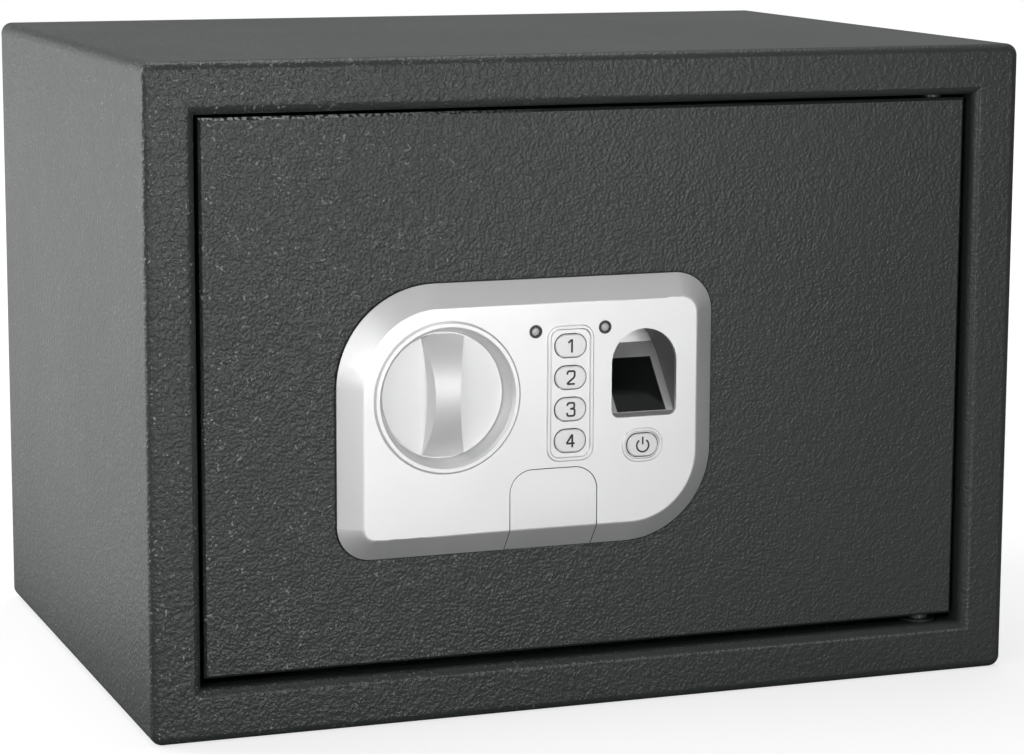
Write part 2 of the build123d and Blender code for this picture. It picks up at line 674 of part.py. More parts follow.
def lock_body():
    """Cam lock's threaded body, flanged at the front."""
    barrel = rod_y(LOCK_X, LOCK_Z, LOCK_BODY_R, -122.8, -114.4)
    flange = rod_y(LOCK_X, LOCK_Z, LOCK_BODY_R + 1.5, -124.1, -122.8)
    return barrel + flange - rod_y(LOCK_X, LOCK_Z, PLUG_R + PLUG_FIT, -127, -113)


def lock_nut():
    nut = slab(Pos(LOCK_X, LOCK_Z) * RegularPolygon(11.5, 6), DOOR_REAR, DOOR_REAR + 2)
    return nut - rod_y(LOCK_X, LOCK_Z, LOCK_BODY_R, DOOR_REAR - 1, DOOR_REAR + 3)


def lock_plug():
    """Turning plug with its key slot, and the tail that carries the cam."""
    plug = rod_y(LOCK_X, LOCK_Z, PLUG_R, -124.3, -114.3)
    plug -= slab(Pos(LOCK_X, LOCK_Z) * Rectangle(1.6, 7.4), -125, -117)
    return plug + slab(Pos(LOCK_X, LOCK_Z) * Rectangle(4, 4), -114.3, -111.4)


def lock_cam():
    """Arm on the plug's tail that presses the plunger's collar down."""
    hub = Pos(LOCK_X, LOCK_Z) * Circle(6)
    arm = Pos(LOCK_X, LOCK_Z + ARM_LENGTH / 2) * Rectangle(6, ARM_LENGTH)
    arm = fillet(arm.vertices().group_by(Axis.Y)[-1], 2)
    return slab(hub + arm - Pos(LOCK_X, LOCK_Z) * Rectangle(4, 4), -114.2, -112.2)


# Back of the door

def inner_cover():
    """Pan over the mechanism, open for the bolts, the batteries and the reset button."""
    middle = Pos((INNER_LEFT + INNER_RIGHT) / 2, (INNER_LOW + INNER_HIGH) / 2)
    width = INNER_RIGHT - INNER_LEFT
    height = INNER_HIGH - INNER_LOW
    pan = slab(middle * RectangleRounded(width, height, INNER_R), DOOR_REAR, INNER_Y)
    pan = chamfer(edges_at_depth(pan, INNER_Y), 2)
    inside = RectangleRounded(width - 2 * INNER_WALL, height - 2 * INNER_WALL, INNER_R - INNER_WALL)
    pan -= slab(middle * inside, DOOR_REAR, INNER_Y - INNER_WALL)
    for z in BOLT_ZS:
        pan -= Pos(INNER_LEFT, BOLT_Y, z) * (Rot(0, 90, 0) * Cylinder(BOLT_R + 0.8, 12))
    pan -= block(INNER_LEFT - 1, INNER_LEFT + 3, DOOR_REAR, DOOR_REAR + SHEET + 0.1, 69.8, 178.2)
    pan -= slab(Pos(TRAY_X, TRAY_Z) * Rectangle(TRAY_W - 4, TRAY_H - 4), INNER_Y - 3, INNER_Y)
    pan -= rod_y(RESET_X, RESET_Z, 3.3, INNER_Y - 3, INNER_Y)
    for x, z in POST_PLACES:
        pan -= slab(Pos(x, z) * RegularPolygon(2.2, 6), INNER_Y - 3, INNER_Y)
    return pan


def cover_posts():
    """Hexagonal posts on the door that the pan is screwed to."""
    posts = [slab(Pos(x, z) * RegularPolygon(4.5, 6), DOOR_REAR, INNER_Y - INNER_WALL) for x, z in POST_PLACES]
    return group(posts)


def cover_screws():
    screws = []
    for x, z in POST_PLACES:
        head = rod_y(x, z, 3.8, INNER_Y, INNER_Y + 1.8)
        screws.append(head + slab(Pos(x, z) * RegularPolygon(2.2, 6), INNER_Y - INNER_WALL, INNER_Y))
    return group(screws)


def panel_screws():
    """Screws that hold the lock panel, driven from the back of the door."""
    screws = []
    for x, z in PANEL_SCREWS:
        stem = slab(Pos(x, z) * RegularPolygon(1.4, 6), PANEL_INNER_Y + 1.4, DOOR_REAR)
        screws.append(stem + slab(Pos(x, z) * RegularPolygon(3.2, 6), DOOR_REAR, DOOR_REAR + 1.8))
    return group(screws)


def battery_tray():
    rear = INNER_Y - INNER_WALL
    tray = slab(Pos(TRAY_X, TRAY_Z) * RectangleRounded(TRAY_W, TRAY_H, 3), TRAY_FRONT, rear)
    tray -= slab(Pos(TRAY_X, TRAY_Z) * Rectangle(TRAY_W - 3, TRAY_H - 3), TRAY_FRONT + 1.5, rear)
    return tray


def cell_places():
    return [TRAY_X + (step - 1.5) * CELL_PITCH for step in range(4)]


def battery_cells():
    """Four round cells side by side, each the other way up from its neighbour."""
    cells = []
    for index, x in enumerate(cell_places()):
        low = TRAY_Z - CELL_LENGTH / 2
        cell = rod_z(x, CELL_Y, CELL_R, low, low + CELL_LENGTH)
        nub_low = low + CELL_LENGTH if index % 2 == 0 else low - 1
        nub = Pos(x, CELL_Y, nub_low) * extrude(RegularPolygon(2.7, 6), amount=1)
        cells.append(cell + nub)
    return group(cells)


def battery_contacts():
    """Spring plates at both ends of the cells."""
    plates = []
    for x in cell_places():
        for end in (-1, 1):
            z = TRAY_Z + end * (TRAY_H / 2 - 2.1)
            plates.append(block(x - 5, x + 5, CELL_Y - 5, CELL_Y + 5, z - 0.6, z + 0.6))
    return group(plates)


def battery_lid():
    """Lid over the cells, lipped into the opening and notched for a fingernail."""
    lid = slab(Pos(TRAY_X, TRAY_Z) * RectangleRounded(TRAY_W + 5, TRAY_H + 5, 4), INNER_Y, INNER_Y + 2)
    lid = chamfer(edges_at_depth(lid, INNER_Y + 2), 0.8)
    outer_lip = Rectangle(TRAY_W - 4.4, TRAY_H - 4.4)
    inner_lip = Rectangle(TRAY_W - 7, TRAY_H - 7)
    lid += slab(Pos(TRAY_X, TRAY_Z) * (outer_lip - inner_lip), INNER_Y - INNER_WALL, INNER_Y)
    notch = Pos(TRAY_X, TRAY_Z + TRAY_H / 2 + 2.5) * Circle(7)
    return lid - slab(notch & Pos(TRAY_X, TRAY_Z + TRAY_H / 2) * Rectangle(20, 3), INNER_Y + 1, INNER_Y + 3)


def control_board():
    return slab(Pos(CONTROL_X, CONTROL_Z) * RectangleRounded(CONTROL_W, CONTROL_H, 2),
                CONTROL_FRONT, CONTROL_FRONT + BOARD_THICK)


def board_places():
    return [(CONTROL_X + side * (CONTROL_W / 2 - 4), CONTROL_Z + up * (CONTROL_H / 2 - 4))
            for side in (-1, 1) for up in (-1, 1)]


def board_standoffs():
    return group([slab(Pos(x, z) * RegularPolygon(3, 6), DOOR_REAR, CONTROL_FRONT) for x, z in board_places()])


def board_components():
    """Processor, relay, sounder, capacitors and plugs on the control board."""
    rear = CONTROL_FRONT + BOARD_THICK
    pieces = [block(70, 84, rear, rear + 2.2, 160, 174)]
    pieces.append(block(90, 106, rear, rear + 11, 176, 196))
    pieces.append(rod_y(99, 158, 6, rear, rear + 8))
    pieces.append(rod_y(76, 192, 3.2, rear, rear + 10))
    pieces.append(rod_y(84, 192, 3.2, rear, rear + 10))
    pieces.append(block(42, 52, rear, rear + 6, 148, 160))
    pieces.append(block(60, 74, rear, rear + 6, 139.5, 146))
    pieces.append(block(RESET_X - 3, RESET_X + 3, rear, rear + 2.5, RESET_Z - 3, RESET_Z + 3))
    return group(pieces)


def reset_button():
    """Long button from the board out through the pan."""
    foot_y = CONTROL_FRONT + BOARD_THICK + 3.8
    stem = rod_y(RESET_X, RESET_Z, 1.6, foot_y, INNER_Y - 4)
    head = rod_y(RESET_X, RESET_Z, 3.0, INNER_Y - 4, INNER_Y + 1.2)
    collar = rod_y(RESET_X, RESET_Z, 4.2, INNER_Y - 4, INNER_Y - INNER_WALL - 0.1)
    return stem + head + collar


def cable_grommet():
    """Rubber ring in the door round the panel's cable."""
    ring = rod_y(CABLE_X, CABLE_Z, 3.5, DOOR_Y, DOOR_REAR)
    ring += rod_y(CABLE_X, CABLE_Z, 5, DOOR_REAR, DOOR_REAR + 1.2)
    return ring - rod_y(CABLE_X, CABLE_Z, 2, DOOR_Y - 1, DOOR_REAR + 2)


def panel_cable():
    """Cable from the panel's board to the plug on the control board."""
    wire_r = 1.6
    run_y = CONTROL_FRONT + BOARD_THICK + 3
    points = ((CABLE_X, BOARD_FRONT + BOARD_THICK, CABLE_Z), (CABLE_X, run_y, CABLE_Z), (45, run_y, 147.5))
    path = FilletPolyline(*points, radius=8)
    return sweep(Plane(origin=path @ 0, z_dir=path % 0) * RegularPolygon(wire_r, 8), path=path)


NODES = {
    "case_wrapper": case_wrapper,
    "back_panel": back_panel,
    "floor_mat": floor_mat,
    "hinge_plates": hinge_plates,
    "door_plate": door_plate,
    "hinge_straps": hinge_straps,
    "hinge_pins": hinge_pins,
    "hinge_collar": hinge_collar,
    "panel_housing": panel_housing,
    "key_cover": key_cover,
    "keypad_mat": keypad_mat,
    "keypad_board": keypad_board,
    "led_lenses": led_lenses,
    "led_rings": led_rings,
    "print_pocket": print_pocket,
    "print_window": print_window,
    "print_module": print_module,
    "knob": knob,
    "knob_spindle": knob_spindle,
    "knob_bush": knob_bush,
    "drive_cam": drive_cam,
    "bolt_bracket": bolt_bracket,
    "bolt_carriage": bolt_carriage,
    "carriage_guides": carriage_guides,
    "locking_bolts": locking_bolts,
    "bolt_screws": bolt_screws,
    "solenoid_frame": solenoid_frame,
    "solenoid_coil": solenoid_coil,
    "plunger": plunger,
    "plunger_spring": plunger_spring,
    "lock_body": lock_body,
    "lock_nut": lock_nut,
    "lock_plug": lock_plug,
    "lock_cam": lock_cam,
    "inner_cover": inner_cover,
    "cover_posts": cover_posts,
    "cover_screws": cover_screws,
    "panel_screws": panel_screws,
    "battery_tray": battery_tray,
    "battery_cells": battery_cells,
    "battery_contacts": battery_contacts,
    "battery_lid": battery_lid,
    "control_board": control_board,
    "board_standoffs": board_standoffs,
    "board_components": board_components,
    "reset_button": reset_button,
    "cable_grommet": cable_grommet,
    "panel_cable": panel_cable,
}

os.makedirs("parts", exist_ok=True)
for node, make in NODES.items():
    export_step(make(), f"parts/{node}.step")
for number, height in enumerate(key_heights(), start=1):
    export_step(key_cap(KEY_X, height), f"parts/key_{number}.step")
export_step(key_cap(POWER_X, POWER_Z), "parts/power_key.step")
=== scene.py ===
import json
import math

import bpy
from mathutils import Matrix, Vector


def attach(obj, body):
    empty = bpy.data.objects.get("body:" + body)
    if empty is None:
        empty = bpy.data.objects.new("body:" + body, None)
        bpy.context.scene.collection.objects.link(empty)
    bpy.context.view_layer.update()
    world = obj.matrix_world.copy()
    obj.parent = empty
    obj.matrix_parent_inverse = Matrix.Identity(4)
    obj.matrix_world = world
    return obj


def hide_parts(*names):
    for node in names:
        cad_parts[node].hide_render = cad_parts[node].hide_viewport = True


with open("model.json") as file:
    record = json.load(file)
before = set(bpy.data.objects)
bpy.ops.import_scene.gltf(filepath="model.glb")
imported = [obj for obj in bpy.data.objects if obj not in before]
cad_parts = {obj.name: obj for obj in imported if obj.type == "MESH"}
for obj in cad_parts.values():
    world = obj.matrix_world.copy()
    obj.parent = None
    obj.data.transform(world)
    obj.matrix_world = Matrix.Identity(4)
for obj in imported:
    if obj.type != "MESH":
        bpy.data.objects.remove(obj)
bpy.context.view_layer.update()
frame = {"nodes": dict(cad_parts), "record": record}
MM = 0.001

# Places that the CAD source also has, in millimetres
DOOR_Y = -120.5          # front of the door plate
PANEL_FOOT = 1.0         # height of the panel's upright foot above the door
PANEL_MIDDLE = (-28.15, 114.7)
PANEL_Y = -128.0         # front of the panel
KEY_FACE_Y = -128.7
KEY_X = -13.4
KEY_ZS = (141.1, 129.05, 117.0, 104.95)
POWER_X = 16.0
POWER_Z = 101.6
KEY_HOLE_HALF = (7.0, 5.2)   # half the room taken by a key and its gap
LED_PLACES = ((-27.3, 147.1), (0.5, 147.5))
KNOB_X = -62.0
KNOB_Z = 124.0
RIM_R = 28.8             # outer radius of the rim round the knob's dish
COVER_LEFT = -37.2
COVER_RIGHT = -2.4
COVER_TOP = 94.7
POCKET_SLOPE = 42        # degrees between the pocket's floor and the panel
POCKET_BACK_Y = -110.0   # the pocket's back wall lies behind this
PAN_Y = -88.0            # back of the pan inside the door
POST_PLACES = ((-134.0, 42.0), (-134.0, 211.0), (111.0, 42.0), (111.0, 211.0))
TRAY_X = 73.0
TRAY_Z = 88.0

# Places and sizes of what only the scene has, in millimetres
# The strip round the panel's foot, a painted shadow where the panel meets the door: how far it
# stands out and how thick its wall is
SHADOW_STRIP_RISE = 0.8
SHADOW_STRIP_WALL = 0.4
STROKE_R = 0.37          # half the width of a digit's stroke
RIB_ZS = (58.0, 198.0)
RIB_LEFT, RIB_RIGHT = -118.0, 20.0
RIDGES = 5
RIDGE_STEP = 2.4

# Brightness of what surrounds the safe
WORLD_LIGHT = 0.03       # on the safe itself
WORLD_GLOSS = 0.36       # in its gloss
CARD_GLOSS = 1.1         # the white card at the left, in its gloss
FLOOR_GLOW = 0.72        # the floor near the safe
UNLIT_HALF = (0.170, 0.120)   # half the floor under the safe that doesn't glow, in metres

# Corners nearer than this, in metres, are one corner
ONE_CORNER = 0.000002

# The strokes of the digits, each curved or straight, with its points from the key's middle:
# x to the right and z up, in millimetres
DIGITS = {
    1: (("straight", ((-1.15, 1.25), (0.3, 2.35))),
        ("straight", ((0.35, 2.5), (0.35, -2.5)))),
    2: (("curved", ((-1.45, 1.25), (-1.45, 2.5), (0.0, 2.5), (1.5, 2.5), (1.5, 1.0), (1.3, 0.0),
                    (-0.4, -1.2), (-1.3, -2.0), (-1.5, -2.4))),
        ("straight", ((-1.5, -2.4), (1.55, -2.4)))),
    3: (("curved", ((-1.4, 1.4), (-1.3, 2.45), (0.0, 2.45), (1.4, 2.45), (1.4, 1.3), (1.3, 0.25),
                    (-0.3, 0.2))),
        ("curved", ((-0.3, 0.2), (1.55, 0.3), (1.55, -1.1), (1.5, -2.5), (0.0, -2.5),
                    (-1.45, -2.45), (-1.5, -1.2)))),
    4: (("straight", ((0.7, -2.5), (0.7, 2.5))),
        ("straight", ((0.7, 2.45), (-1.6, -0.9))),
        ("straight", ((-1.7, -0.95), (1.65, -0.95)))),
}


# Camera, lamps, floor

def place_camera():
    """The photograph's view, from the front left and a little above."""
    yaw = math.radians(20.298)
    pitch = math.radians(9.675)
    roll = math.radians(0.222)
    look = Vector((math.sin(yaw) * math.cos(pitch), math.cos(yaw) * math.cos(pitch),
                   -math.sin(pitch)))
    level = Vector((math.cos(yaw), -math.sin(yaw), 0))
    right = math.cos(roll) * level + math.sin(roll) * level.cross(look)
    up = right.cross(look)
    turn = Matrix((right, up, -look)).transposed().to_4x4()
    data = bpy.data.cameras.new("camera")
    data.lens = 111.78
    data.sensor_width = 36
    data.clip_start = 0.05
    camera = bpy.data.objects.new("camera", data)
    camera.matrix_world = Matrix.Translation((-0.4414, -1.2222, 0.3294)) @ turn
    bpy.context.scene.collection.objects.link(camera)
    bpy.context.scene.camera = camera


def math_node(tree, operation, first, second):
    """A Math node on two sockets or numbers; returns its output."""
    node = tree.nodes.new("ShaderNodeMath")
    node.operation = operation
    for socket, value in zip(node.inputs, (first, second)):
        if isinstance(value, (int, float)):
            socket.default_value = value
        else:
            tree.links.new(value, socket)
    return node.outputs[0]


def spread(tree, value, low, high, to_low=0.0, to_high=1.0):
    """A clamped Map Range; returns its output."""
    node = tree.nodes.new("ShaderNodeMapRange")
    tree.links.new(value, node.inputs["Value"])
    node.inputs["From Min"].default_value = low
    node.inputs["From Max"].default_value = high
    node.inputs["To Min"].default_value = to_low
    node.inputs["To Max"].default_value = to_high
    return node.outputs["Result"]


def softbox(name, place, aim, size, power):
    """A rectangular lamp, with its place and its aim in metres and its power in watts."""
    data = bpy.data.lights.new(name, "AREA")
    data.shape = "RECTANGLE"
    data.size, data.size_y = size
    data.energy = power
    lamp = bpy.data.objects.new(name, data)
    lamp.location = place
    lamp.rotation_euler = (Vector(aim) - Vector(place)).to_track_quat("-Z", "Y").to_euler()
    bpy.context.scene.collection.objects.link(lamp)


def light_studio():
    aim = (-0.05, -0.1, 0.12)
    softbox("key softbox", (-1.1, -1.1, 1.0), aim, (0.9, 0.9), 2.8)
    softbox("front softbox", (0.25, -2.3, 0.1), aim, (1.0, 0.5), 19)
    softbox("low softbox", (-0.8, -0.95, 0.25), aim, (0.5, 0.4), 2.5)
    softbox("side softbox", (-1.7, 1.2, 0.6), aim, (1.4, 1.2), 26)
    softbox("top softbox", (0, 0.2, 2.0), aim, (1.4, 1.2), 18)


def plain_light(tree, kind, strength):
    """A white background or emission node; returns its output."""
    light = tree.nodes.new(kind)
    light.inputs["Color"].default_value = (1, 1, 1, 1)
    light.inputs["Strength"].default_value = strength
    return light.outputs[0]


def blend_shaders(tree, factor, first, second):
    mix = tree.nodes.new("ShaderNodeMixShader")
    tree.links.new(factor, mix.inputs["Fac"])
    tree.links.new(first, mix.inputs[1])
    tree.links.new(second, mix.inputs[2])
    return mix.outputs[0]


def white_surround():
    """A plain world: faint light on the safe, grey in its gloss and white behind it."""
    world = bpy.data.worlds.new("surround")
    bpy.context.scene.world = world
    world.use_nodes = True
    tree = world.node_tree
    tree.nodes.clear()
    out = tree.nodes.new("ShaderNodeOutputWorld")
    rays = tree.nodes.new("ShaderNodeLightPath")
    lit = plain_light(tree, "ShaderNodeBackground", WORLD_LIGHT)
    gloss = plain_light(tree, "ShaderNodeBackground", WORLD_GLOSS)
    lit = blend_shaders(tree, rays.outputs["Is Glossy Ray"], lit, gloss)
    shown = math_node(tree, "MAXIMUM", rays.outputs["Is Camera Ray"],
                      rays.outputs["Is Transmission Ray"])
    lit = blend_shaders(tree, shown, lit, plain_light(tree, "ShaderNodeBackground", 1.0))
    tree.links.new(lit, out.inputs["Surface"])


def pale_floor():
    """A floor that is white to the camera and takes the safe's shadow.

    It doesn't glow under the safe, where the anchor holes show it, and its glow rises with the
    distance. To the safe it is a dim grey, and its gloss sees a white card at the left.
    """
    bpy.ops.object.select_all(action="DESELECT")
    bpy.ops.mesh.primitive_plane_add(size=8)
    floor = bpy.context.object
    floor.name = "floor"
    material = bpy.data.materials.new("pale floor")
    material.use_nodes = True
    tree = material.node_tree
    shader = tree.nodes["Principled BSDF"]
    shader.inputs["Base Color"].default_value = (0.5, 0.5, 0.5, 1)
    shader.inputs["Roughness"].default_value = 0.8
    shader.inputs["Emission Color"].default_value = (1, 1, 1, 1)
    dim = tree.nodes.new("ShaderNodeBsdfDiffuse")
    dim.inputs["Color"].default_value = (0.4, 0.4, 0.4, 1)
    split = tree.nodes.new("ShaderNodeSeparateXYZ")
    place = tree.nodes.new("ShaderNodeTexCoord").outputs["Object"]
    tree.links.new(place, split.inputs[0])
    beyond = [spread(tree, math_node(tree, "ABSOLUTE", split.outputs[axis], 0), half - 0.02, half)
              for axis, half in zip("XY", UNLIT_HALF)]
    clear = math_node(tree, "MAXIMUM", *beyond)
    far = tree.nodes.new("ShaderNodeVectorMath")
    far.operation = "LENGTH"
    tree.links.new(place, far.inputs[0])
    glow = spread(tree, far.outputs["Value"], 0.5, 1.6, FLOOR_GLOW, 1.0)
    tree.links.new(math_node(tree, "MULTIPLY", clear, glow), shader.inputs["Emission Strength"])
    left = spread(tree, split.outputs["X"], -0.28, -0.16, 1.0, 0.0)
    beside = spread(tree, split.outputs["Y"], -0.1, 0.1)
    rays = tree.nodes.new("ShaderNodeLightPath")
    card = math_node(tree, "MULTIPLY", math_node(tree, "MULTIPLY", left, beside),
                     rays.outputs["Is Glossy Ray"])
    white_card = plain_light(tree, "ShaderNodeEmission", CARD_GLOSS)
    to_safe = blend_shaders(tree, card, dim.outputs[0], white_card)
    whole = blend_shaders(tree, rays.outputs["Is Camera Ray"], to_safe, shader.outputs[0])
    tree.links.new(whole, tree.nodes["Material Output"].inputs["Surface"])
    floor.data.materials.append(material)


# Material effects, each a node group built once

def effect(name, outputs):
    """An empty node group with a vector and a scale going in and the named masks coming out."""
    group = bpy.data.node_groups.new(name, "ShaderNodeTree")
    group.interface.new_socket("Vector", in_out="INPUT", socket_type="NodeSocketVector")
    group.interface.new_socket("Scale", in_out="INPUT", socket_type="NodeSocketFloat")
    for socket in outputs:
        group.interface.new_socket(socket, in_out="OUTPUT", socket_type="NodeSocketFloat")
    return group, group.nodes.new("NodeGroupInput"), group.nodes.new("NodeGroupOutput")


def noise(tree, vector, scale, detail=2.0, roughness=0.5, distortion=0.0):
    node = tree.nodes.new("ShaderNodeTexNoise")
    tree.links.new(vector, node.inputs["Vector"])
    node.inputs["Detail"].default_value = detail
    node.inputs["Roughness"].default_value = roughness
    node.inputs["Distortion"].default_value = distortion
    if isinstance(scale, (int, float)):
        node.inputs["Scale"].default_value = scale
    else:
        tree.links.new(scale, node.inputs["Scale"])
    return node.outputs["Fac"]


def orange_peel():
    """Powder coat: a rippled skin and sparse bright spots, both weaker to the right, and slow
    changes of tone. The bright spots are painted glints, painted fainter towards the right, where
    less light falls."""
    group, inside, out = effect("orange peel", ("Height", "PaintedGlint", "Tone"))
    place = inside.outputs["Vector"]
    scale = inside.outputs["Scale"]
    ripple = spread(group, noise(group, place, scale, 1.5, 0.5, 0.15), 0.34, 0.66)
    wide = math_node(group, "MULTIPLY", scale, 0.4)
    swell = spread(group, noise(group, place, wide, 1.0), 0.34, 0.66)
    height = math_node(group, "ADD", math_node(group, "MULTIPLY", ripple, 0.7),
                       math_node(group, "MULTIPLY", swell, 0.5))
    split = group.nodes.new("ShaderNodeSeparateXYZ")
    group.links.new(place, split.inputs[0])
    sprayed = spread(group, split.outputs["X"], -0.12, 0.10, 1.0, 0.5)
    group.links.new(math_node(group, "MULTIPLY", height, sprayed), out.inputs["Height"])
    # Painted light: the glints fade from the lit left towards the right
    lit = spread(group, split.outputs["X"], -0.17, 0.05, 1.0, 0.0)
    speck = noise(group, place, math_node(group, "MULTIPLY", scale, 1.15), 0.0)
    patches = math_node(group, "MULTIPLY", scale, 0.22)
    sparse = spread(group, noise(group, place, patches, 1.0), 0.45, 0.6)
    painted_glints = math_node(group, "MULTIPLY", spread(group, speck, 0.68, 0.78), sparse)
    group.links.new(math_node(group, "MULTIPLY", painted_glints, lit), out.inputs["PaintedGlint"])
    group.links.new(noise(group, place, 9.0, 3.0), out.inputs["Tone"])
    return group


def fine_grain():
    """The grain of moulded or painted plastic, with slow changes of gloss."""
    group, inside, out = effect("fine grain", ("Height", "Gloss"))
    grain = noise(group, inside.outputs["Vector"], inside.outputs["Scale"], 1.0)
    group.links.new(grain, out.inputs["Height"])
    group.links.new(noise(group, inside.outputs["Vector"], 35.0, 3.0), out.inputs["Gloss"])
    return group


def brushed_lines():
    """Fine lines left by rolling or turning, along the vector's X."""
    group, inside, out = effect("brushed lines", ("Height", "Gloss"))
    stretch = group.nodes.new("ShaderNodeMapping")
    stretch.inputs["Scale"].default_value = (0.03, 1.0, 1.0)
    group.links.new(inside.outputs["Vector"], stretch.inputs["Vector"])
    lines = noise(group, stretch.outputs["Vector"], inside.outputs["Scale"], 2.0, 0.6)
    group.links.new(lines, out.inputs["Height"])
    group.links.new(noise(group, inside.outputs["Vector"], 60.0, 2.0), out.inputs["Gloss"])
    return group


ORANGE_PEEL = orange_peel()
FINE_GRAIN = fine_grain()
BRUSHED_LINES = brushed_lines()


class Finish:
    """A material in the making: its tree, its shader and its Object coordinates."""

    def __init__(self, name, colour, roughness, metallic=0.0):
        self.material = bpy.data.materials.new(name)
        self.material.use_nodes = True
        self.tree = self.material.node_tree
        self.shader = self.tree.nodes["Principled BSDF"]
        self.shader.inputs["Base Color"].default_value = (*colour, 1)
        self.shader.inputs["Roughness"].default_value = roughness
        self.shader.inputs["Metallic"].default_value = metallic
        self.place = self.tree.nodes.new("ShaderNodeTexCoord").outputs["Object"]
        self.colour = colour

    def add(self, group, scale):
        node = self.tree.nodes.new("ShaderNodeGroup")
        node.node_tree = group
        node.inputs["Scale"].default_value = scale
        self.tree.links.new(self.place, node.inputs["Vector"])
        return node

    def bump(self, height, depth):
        node = self.tree.nodes.new("ShaderNodeBump")
        node.inputs["Strength"].default_value = 1.0
        node.inputs["Distance"].default_value = depth
        self.tree.links.new(height, node.inputs["Height"])
        self.tree.links.new(node.outputs["Normal"], self.shader.inputs["Normal"])

    def rough(self, mask, low, high):
        """The roughness runs from low to high as the mask rises."""
        roughness = spread(self.tree, mask, 0.3, 0.7, low, high)
        self.tree.links.new(roughness, self.shader.inputs["Roughness"])

    def tint(self, mask, other, first=None):
        """The base colour runs from the finish's own, or from first, to another with the mask."""
        mix = self.tree.nodes.new("ShaderNodeMix")
        mix.data_type = "RGBA"
        self.tree.links.new(mask, mix.inputs["Factor"])
        if first is None:
            mix.inputs[6].default_value = (*self.colour, 1)
        else:
            self.tree.links.new(first, mix.inputs[6])
        mix.inputs[7].default_value = (*other, 1)
        self.tree.links.new(mix.outputs[2], self.shader.inputs["Base Color"])
        return mix.outputs[2]


def powder_coat(name="dark powder coat", edge_glints=False):
    """The coat of case and door; for an edge it gets a painted highlight: pale glints painted in
    towards the left, where light catches the edge.
    """
    finish = Finish(name, (0.029, 0.0350, 0.0338), 0.40)
    tree = finish.tree
    peel = finish.add(ORANGE_PEEL, 820.0)
    slow = spread(tree, peel.outputs["Tone"], 0.35, 0.65)
    coat = finish.tint(slow, (0.033, 0.0392, 0.0380))
    # Painted glints: bright spots lightened into the base colour
    painted_glints = math_node(tree, "MULTIPLY", peel.outputs["PaintedGlint"], 0.9)
    coat = finish.tint(painted_glints, (0.30, 0.31, 0.31), coat)
    # Painted highlight: pale glints on the edge, fading to the right
    if edge_glints:
        split = tree.nodes.new("ShaderNodeSeparateXYZ")
        tree.links.new(finish.place, split.inputs[0])
        glinting = spread(tree, noise(tree, finish.place, 700.0, 1.0), 0.42, 0.58)
        left = spread(tree, split.outputs["X"], -0.15, -0.02, 1.0, 0.0)
        finish.tint(math_node(tree, "MULTIPLY", glinting, left), (0.70, 0.72, 0.72), coat)
    finish.rough(peel.outputs["Tone"], 0.36, 0.42)
    finish.bump(peel.outputs["Height"], 0.00019)
    return finish.material


def silver_paint(name, metallic):
    finish = Finish(name, (0.87, 0.87, 0.875), 0.45, metallic)
    grain = finish.add(FINE_GRAIN, 2600.0)
    finish.rough(grain.outputs["Gloss"], 0.42, 0.48)
    finish.bump(grain.outputs["Height"], 0.000012)
    return finish.material


def moulded(name, colour, roughness, depth=0.00001, scale=2600.0, metallic=0.0):
    finish = Finish(name, colour, roughness, metallic)
    grain = finish.add(FINE_GRAIN, scale)
    finish.rough(grain.outputs["Gloss"], roughness - 0.04, roughness + 0.05)
    finish.bump(grain.outputs["Height"], depth)
    return finish.material


def metal(name, colour, roughness):
    finish = Finish(name, colour, roughness, 1.0)
    lines = finish.add(BRUSHED_LINES, 1500.0)
    finish.rough(lines.outputs["Gloss"], roughness - 0.06, roughness + 0.08)
    finish.bump(lines.outputs["Height"], 0.000008)
    return finish.material


def needled_felt():
    finish = Finish("needled felt", (0.035, 0.036, 0.038), 0.95)
    grain = finish.add(FINE_GRAIN, 900.0)
    finish.tint(spread(finish.tree, grain.outputs["Height"], 0.4, 0.65), (0.075, 0.077, 0.08))
    finish.bump(grain.outputs["Height"], 0.0004)
    finish.shader.inputs["Sheen Weight"].default_value = 0.4
    return finish.material


FINISHES = {
    "dark_coat": powder_coat(),
    # The door's top edge: the coat with a painted highlight of glints
    "edge_glint_coat": powder_coat("rubbed powder coat", edge_glints=True),
    "silver_plastic": silver_paint("silver paint", 0.75),
    "soft_silver": silver_paint("soft silver paint", 0.45),
    "white_key": moulded("white key", (0.90, 0.90, 0.90), 0.38, metallic=0.4),
    "zinc_steel": metal("zinc plate", (0.60, 0.61, 0.60), 0.34),
    "bolt_steel": metal("bright plate", (0.72, 0.72, 0.73), 0.2),
    "brass": metal("brass", (0.72, 0.54, 0.26), 0.3),
    "black_plastic": moulded("black plastic", (0.022, 0.022, 0.024), 0.45, 0.00003, 1500.0),
    "grey_plastic": moulded("grey plastic", (0.16, 0.16, 0.165), 0.42),
    "board_green": moulded("board lacquer", (0.02, 0.13, 0.05), 0.3),
    "copper_coil": metal("enamelled copper", (0.50, 0.18, 0.07), 0.3),
    "dark_window": moulded("reader window", (0.006, 0.009, 0.008), 0.1, 0.000002),
    "lens_clear": moulded("lens", (0.72, 0.72, 0.70), 0.14),
    "key_print": moulded("key print", (0.03, 0.03, 0.032), 0.5),
    "pocket_frame": moulded("pocket frame", (0.68, 0.68, 0.69), 0.3, metallic=0.4),
    "indicator_ring": moulded("indicator ring", (0.05, 0.05, 0.052), 0.35),
    "gap_shade": moulded("shaded gap", (0.06, 0.06, 0.062), 0.6),
    "rubber": moulded("rubber", (0.02, 0.02, 0.02), 0.65),
    "felt": needled_felt(),
    "cell_wrap": moulded("cell wrap", (0.04, 0.07, 0.16), 0.28),
    "red_button": moulded("red button", (0.5, 0.025, 0.02), 0.3),
}


